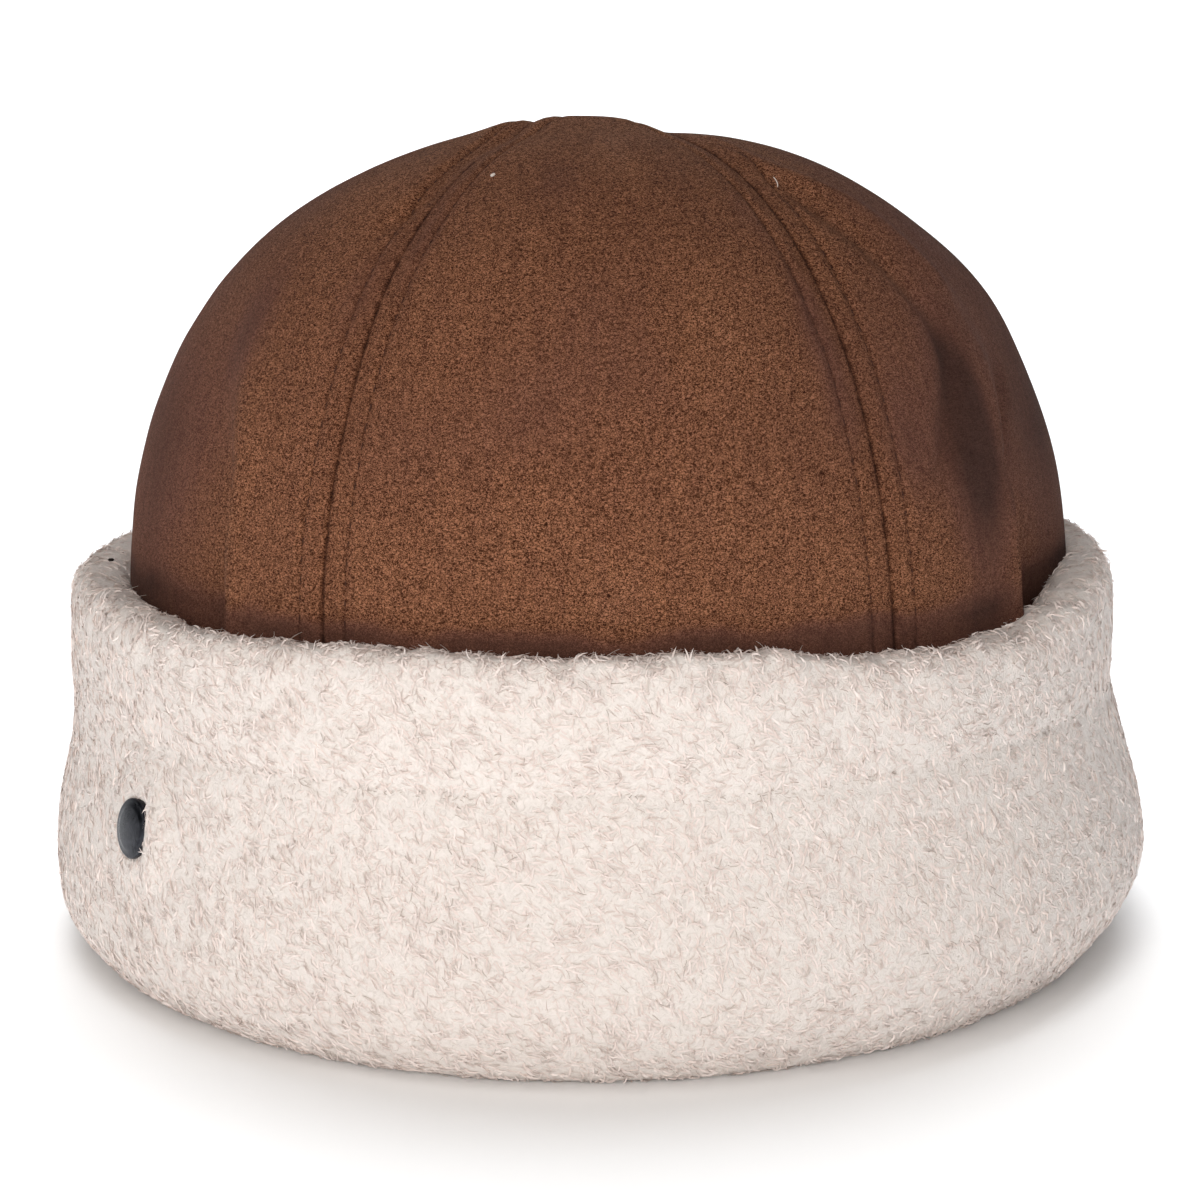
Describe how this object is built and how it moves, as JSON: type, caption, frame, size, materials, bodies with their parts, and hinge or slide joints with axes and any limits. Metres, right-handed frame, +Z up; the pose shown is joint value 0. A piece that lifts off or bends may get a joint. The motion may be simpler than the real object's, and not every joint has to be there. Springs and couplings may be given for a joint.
{
  "type": "cuffed panel cap with a turned-up pile cuff",
  "caption": "Round soft cap with a domed suede crown sewn from gores, a wide turned-up fleece cuff for warmth, and a small plain metal badge.",
  "frame": {"origin": "centre of the bounding box's bottom face, on the surface that the cuff's bottom fold rests on", "axes": "+Z up through the crown, -Y towards the wearer's front, +X towards the wearer's left; the badge is on the -X side"},
  "size_m": [0.2164, 0.2304, 0.1591],
  "materials": {
    "suede": "brown faux suede with a short brushed nap",
    "pile_fleece": "cream curly short-pile fleece",
    "dark_metal": "dark satin metal, plain face"
  },
  "bodies": {
    "root": {"crown_panel_front": "suede", "crown_panel_front_right": "suede", "crown_panel_back_right": "suede", "crown_panel_back": "suede", "crown_panel_back_left": "suede", "crown_panel_front_left": "suede", "cuff": "pile_fleece", "badge": "dark_metal"}
  },
  "joints": []
}
